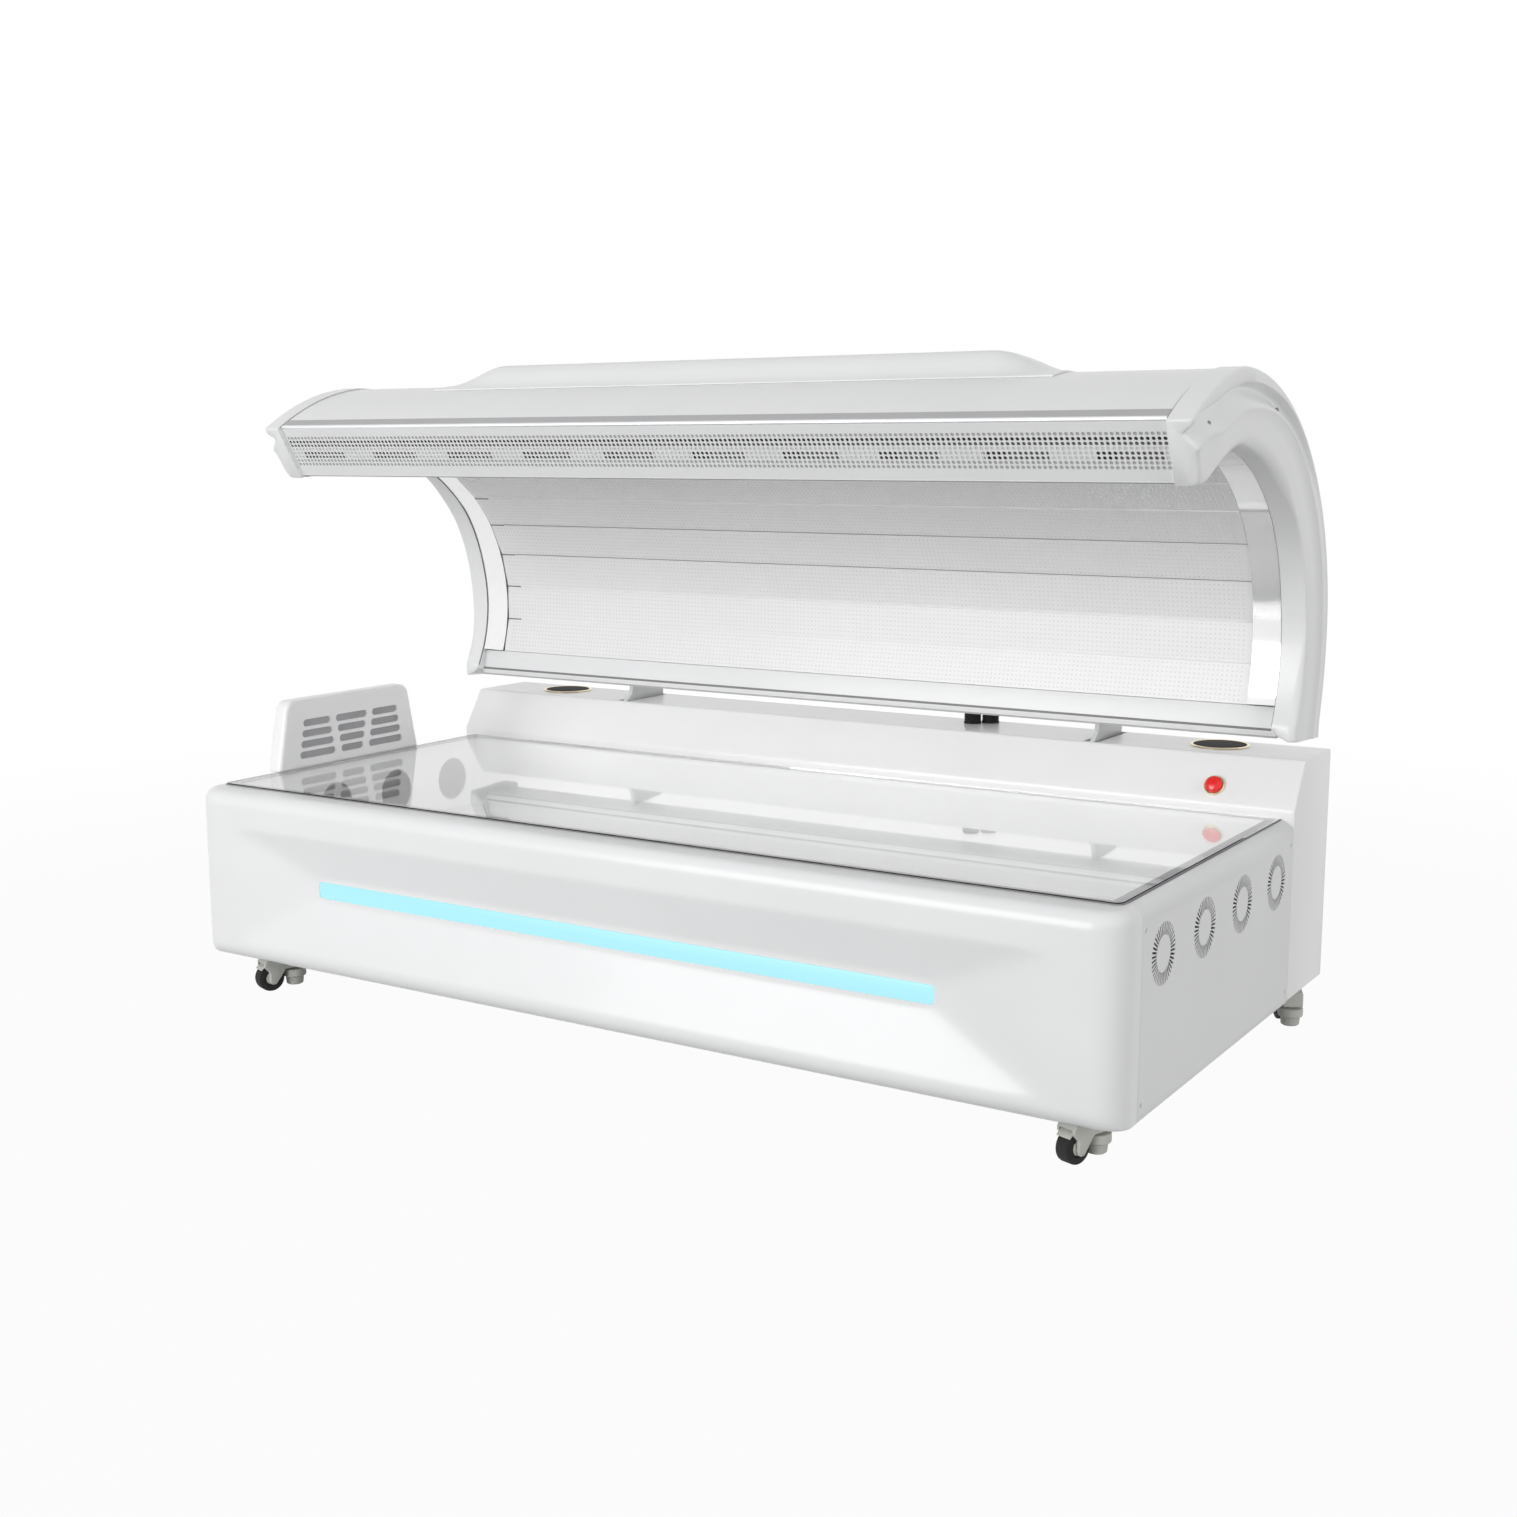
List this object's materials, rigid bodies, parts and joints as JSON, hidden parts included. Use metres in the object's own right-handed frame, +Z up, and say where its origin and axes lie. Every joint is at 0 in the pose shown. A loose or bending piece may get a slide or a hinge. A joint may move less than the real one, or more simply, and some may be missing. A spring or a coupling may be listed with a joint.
{
  "type": "red light therapy bed",
  "caption": "Full-length light therapy bed: a curved LED canopy hinged along the back of a box base with a clear lying sheet, on levelling casters",
  "frame": {"origin": "centre of the footprint, on the floor", "axes": "+X along the bed to the end with the stop button, -Y to the side people get in from, +Z up"},
  "size_m": [2.2, 1.157, 1.4091],
  "materials": {
    "white_gloss": "gloss white moulded plastic",
    "white_satin": "satin white painted sheet",
    "led_board": "white LED boards",
    "white_steel": "white painted steel",
    "polished_aluminium": "polished aluminium",
    "clear_sheet": "clear acrylic",
    "dark_seal": "dark rubber seal",
    "cyan_lens": "lit cyan diffuser",
    "black_plastic": "black plastic",
    "black_rubber": "black rubber",
    "brass_bezel": "brass-coloured ring",
    "red_button": "gloss red",
    "zinc_steel": "zinc-plated steel",
    "caster_plastic": "off-white caster plastic"
  },
  "bodies": {
    "base": {"front_fascia": "white_gloss", "rear_console": "white_gloss", "head_vent": "white_gloss", "left_side_panel": "white_satin", "right_side_panel": "white_satin", "lower_led_tray": "led_board", "base_frame": "white_steel", "rear_panel": "white_steel", "bed_top": "clear_sheet", "bed_seal": "dark_seal", "light_bar": "cyan_lens", "power_inlet": "black_plastic", "fan_bank": "black_plastic", "left_speaker": "black_plastic", "right_speaker": "black_plastic", "left_lift_tube": "black_plastic", "right_lift_tube": "black_plastic", "front_cable_boot": "black_rubber", "rear_cable_boot": "black_rubber", "button_bezel": "brass_bezel", "power_supply": "zinc_steel", "left_hinge_bracket": "zinc_steel", "right_hinge_bracket": "zinc_steel", "left_hinge_pin": "zinc_steel", "right_hinge_pin": "zinc_steel"},
    "canopy": {"canopy_shell": "white_gloss", "canopy_top_cover": "white_gloss", "left_end_cap": "white_gloss", "right_end_cap": "white_gloss", "front_grille": "polished_aluminium", "lower_rail": "polished_aluminium", "left_trim_strip": "polished_aluminium", "right_trim_strip": "polished_aluminium", "led_panel_1": "led_board", "led_panel_2": "led_board", "led_panel_3": "led_board", "led_panel_4": "led_board", "led_panel_5": "led_board", "left_hinge_arm": "white_steel", "right_hinge_arm": "white_steel"},
    "stop_button": {"stop_button": "red_button"},
    "left_lift_rod": {"left_lift_rod": "zinc_steel"},
    "right_lift_rod": {"right_lift_rod": "zinc_steel"},
    "fan_rotor_1": {"fan_rotor_1": "black_plastic"},
    "fan_rotor_2": {"fan_rotor_2": "black_plastic"},
    "fan_rotor_3": {"fan_rotor_3": "black_plastic"},
    "fan_rotor_4": {"fan_rotor_4": "black_plastic"},
    "front_left_caster_housing": {"front_left_caster_housing": "caster_plastic"},
    "front_left_caster_wheel": {"front_left_caster_wheel": "black_rubber"},
    "front_left_caster_foot": {"front_left_caster_foot": "caster_plastic"},
    "front_right_caster_housing": {"front_right_caster_housing": "caster_plastic"},
    "front_right_caster_wheel": {"front_right_caster_wheel": "black_rubber"},
    "front_right_caster_foot": {"front_right_caster_foot": "caster_plastic"},
    "rear_left_caster_housing": {"rear_left_caster_housing": "caster_plastic"},
    "rear_left_caster_wheel": {"rear_left_caster_wheel": "black_rubber"},
    "rear_left_caster_foot": {"rear_left_caster_foot": "caster_plastic"},
    "rear_right_caster_housing": {"rear_right_caster_housing": "caster_plastic"},
    "rear_right_caster_wheel": {"rear_right_caster_wheel": "black_rubber"},
    "rear_right_caster_foot": {"rear_right_caster_foot": "caster_plastic"}
  },
  "joints": [
    {"name": "canopy_hinge", "type": "hinge", "parent": "base", "child": "canopy", "pos_m": [0, 0.46, 0.57], "axis": [1, 0, 0], "range_deg": [0, 43]},
    {"name": "left_lift_stroke", "type": "slide", "parent": "base", "child": "left_lift_rod", "axis": [0, 0, -1], "range_m": [0, 0.0377]},
    {"name": "right_lift_stroke", "type": "slide", "parent": "base", "child": "right_lift_rod", "axis": [0, 0, -1], "range_m": [0, 0.0377]},
    {"name": "stop_button_press", "type": "slide", "parent": "base", "child": "stop_button", "axis": [0, 0.8427, -0.5383], "range_m": [0, 0.004], "stiffness_N_per_m": 900, "springref_m": -0.001},
    {"name": "fan_1_spin", "type": "hinge", "parent": "base", "child": "fan_rotor_1", "pos_m": [1.083, -0.3864, 0.372], "axis": [1, 0, 0], "continuous": true},
    {"name": "fan_2_spin", "type": "hinge", "parent": "base", "child": "fan_rotor_2", "pos_m": [1.083, -0.1798, 0.372], "axis": [1, 0, 0], "continuous": true},
    {"name": "fan_3_spin", "type": "hinge", "parent": "base", "child": "fan_rotor_3", "pos_m": [1.083, 0.0268, 0.372], "axis": [1, 0, 0], "continuous": true},
    {"name": "fan_4_spin", "type": "hinge", "parent": "base", "child": "fan_rotor_4", "pos_m": [1.083, 0.2334, 0.372], "axis": [1, 0, 0], "continuous": true},
    {"name": "front_left_swivel", "type": "hinge", "parent": "base", "child": "front_left_caster_housing", "pos_m": [-0.988, -0.448, 0.09], "axis": [0, 0, 1], "continuous": true},
    {"name": "front_left_wheel_roll", "type": "hinge", "parent": "front_left_caster_housing", "child": "front_left_caster_wheel", "pos_m": [-0.99647, -0.47258, 0.03062], "axis": [0.9455, -0.3256, 0], "continuous": true},
    {"name": "front_left_foot_level", "type": "slide", "parent": "front_left_caster_housing", "child": "front_left_caster_foot", "axis": [0, 0, -1], "range_m": [-0.004, 0.01]},
    {"name": "front_right_swivel", "type": "hinge", "parent": "base", "child": "front_right_caster_housing", "pos_m": [0.988, -0.448, 0.09], "axis": [0, 0, 1], "continuous": true},
    {"name": "front_right_wheel_roll", "type": "hinge", "parent": "front_right_caster_housing", "child": "front_right_caster_wheel", "pos_m": [0.97954, -0.47258, 0.03062], "axis": [0.9455, -0.3256, 0], "continuous": true},
    {"name": "front_right_foot_level", "type": "slide", "parent": "front_right_caster_housing", "child": "front_right_caster_foot", "axis": [0, 0, -1], "range_m": [-0.004, 0.01]},
    {"name": "rear_left_swivel", "type": "hinge", "parent": "base", "child": "rear_left_caster_housing", "pos_m": [-1.044, 0.5225, 0.09], "axis": [0, 0, 1], "continuous": true},
    {"name": "rear_left_wheel_roll", "type": "hinge", "parent": "rear_left_caster_housing", "child": "rear_left_caster_wheel", "pos_m": [-1.05816, 0.54431, 0.03062], "axis": [-0.8387, -0.5446, 0], "continuous": true},
    {"name": "rear_left_foot_level", "type": "slide", "parent": "rear_left_caster_housing", "child": "rear_left_caster_foot", "axis": [0, 0, -1], "range_m": [-0.004, 0.01]},
    {"name": "rear_right_swivel", "type": "hinge", "parent": "base", "child": "rear_right_caster_housing", "pos_m": [1.044, 0.5225, 0.09], "axis": [0, 0, 1], "continuous": true},
    {"name": "rear_right_wheel_roll", "type": "hinge", "parent": "rear_right_caster_housing", "child": "rear_right_caster_wheel", "pos_m": [1.02984, 0.54431, 0.03062], "axis": [-0.8387, -0.5446, 0], "continuous": true},
    {"name": "rear_right_foot_level", "type": "slide", "parent": "rear_right_caster_housing", "child": "rear_right_caster_foot", "axis": [0, 0, -1], "range_m": [-0.004, 0.01]}
  ],
  "couplings": [
    {"joint": "left_lift_stroke", "follows": "canopy_hinge", "m_per_rad": 0.04998},
    {"joint": "right_lift_stroke", "follows": "canopy_hinge", "m_per_rad": 0.04998}
  ]
}
